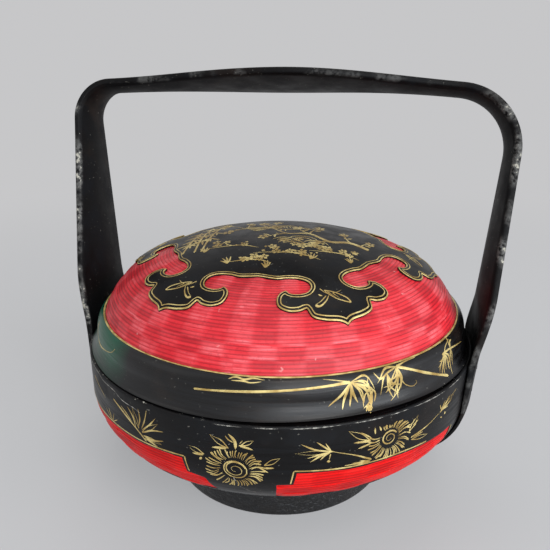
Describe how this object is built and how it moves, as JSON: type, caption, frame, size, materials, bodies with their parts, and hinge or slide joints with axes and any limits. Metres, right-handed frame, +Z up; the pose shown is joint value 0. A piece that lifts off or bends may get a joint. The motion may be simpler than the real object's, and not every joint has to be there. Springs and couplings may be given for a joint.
{
  "type": "wedding basket",
  "caption": "Round lacquered bamboo wedding basket on a foot ring, with a domed lift-off lid and a tall fixed strap handle.",
  "frame": {"origin": "centre of the foot ring's underside, on the surface that the basket stands on", "axes": "+X through the right leg of the handle, +Z up, -Y towards the front"},
  "size_m": [0.3697, 0.33, 0.3453],
  "materials": {
    "black_lacquer": "thick black lacquer, satin gloss, fine scratches",
    "worn_black_lacquer": "black lacquer, worn through to pale ground along the edges",
    "red_woven_bamboo": "red paint over fine woven bamboo, semi-gloss, rubbed on the ribs"
  },
  "bodies": {
    "basket": {"foot_ring": "worn_black_lacquer", "foot_inner_hoop": "worn_black_lacquer", "bowl_shell": "red_woven_bamboo", "bowl_rim_hoop": "black_lacquer", "bowl_inner_hoop": "black_lacquer", "handle": "worn_black_lacquer", "leg_peg_left_upper_front": "worn_black_lacquer", "leg_peg_left_upper_back": "worn_black_lacquer", "leg_peg_left_lower_front": "worn_black_lacquer", "leg_peg_left_lower_back": "worn_black_lacquer", "leg_peg_right_upper_front": "worn_black_lacquer", "leg_peg_right_upper_back": "worn_black_lacquer", "leg_peg_right_lower_front": "worn_black_lacquer", "leg_peg_right_lower_back": "worn_black_lacquer"},
    "lid": {"lid_dome": "red_woven_bamboo", "lid_band": "black_lacquer", "lid_inner_hoop": "black_lacquer", "lid_cloud_collar": "black_lacquer"}
  },
  "joints": [
    {"name": "lid_lift", "type": "slide", "parent": "basket", "child": "lid", "axis": [0, 0, 1], "range_m": [0, 0.09]}
  ]
}
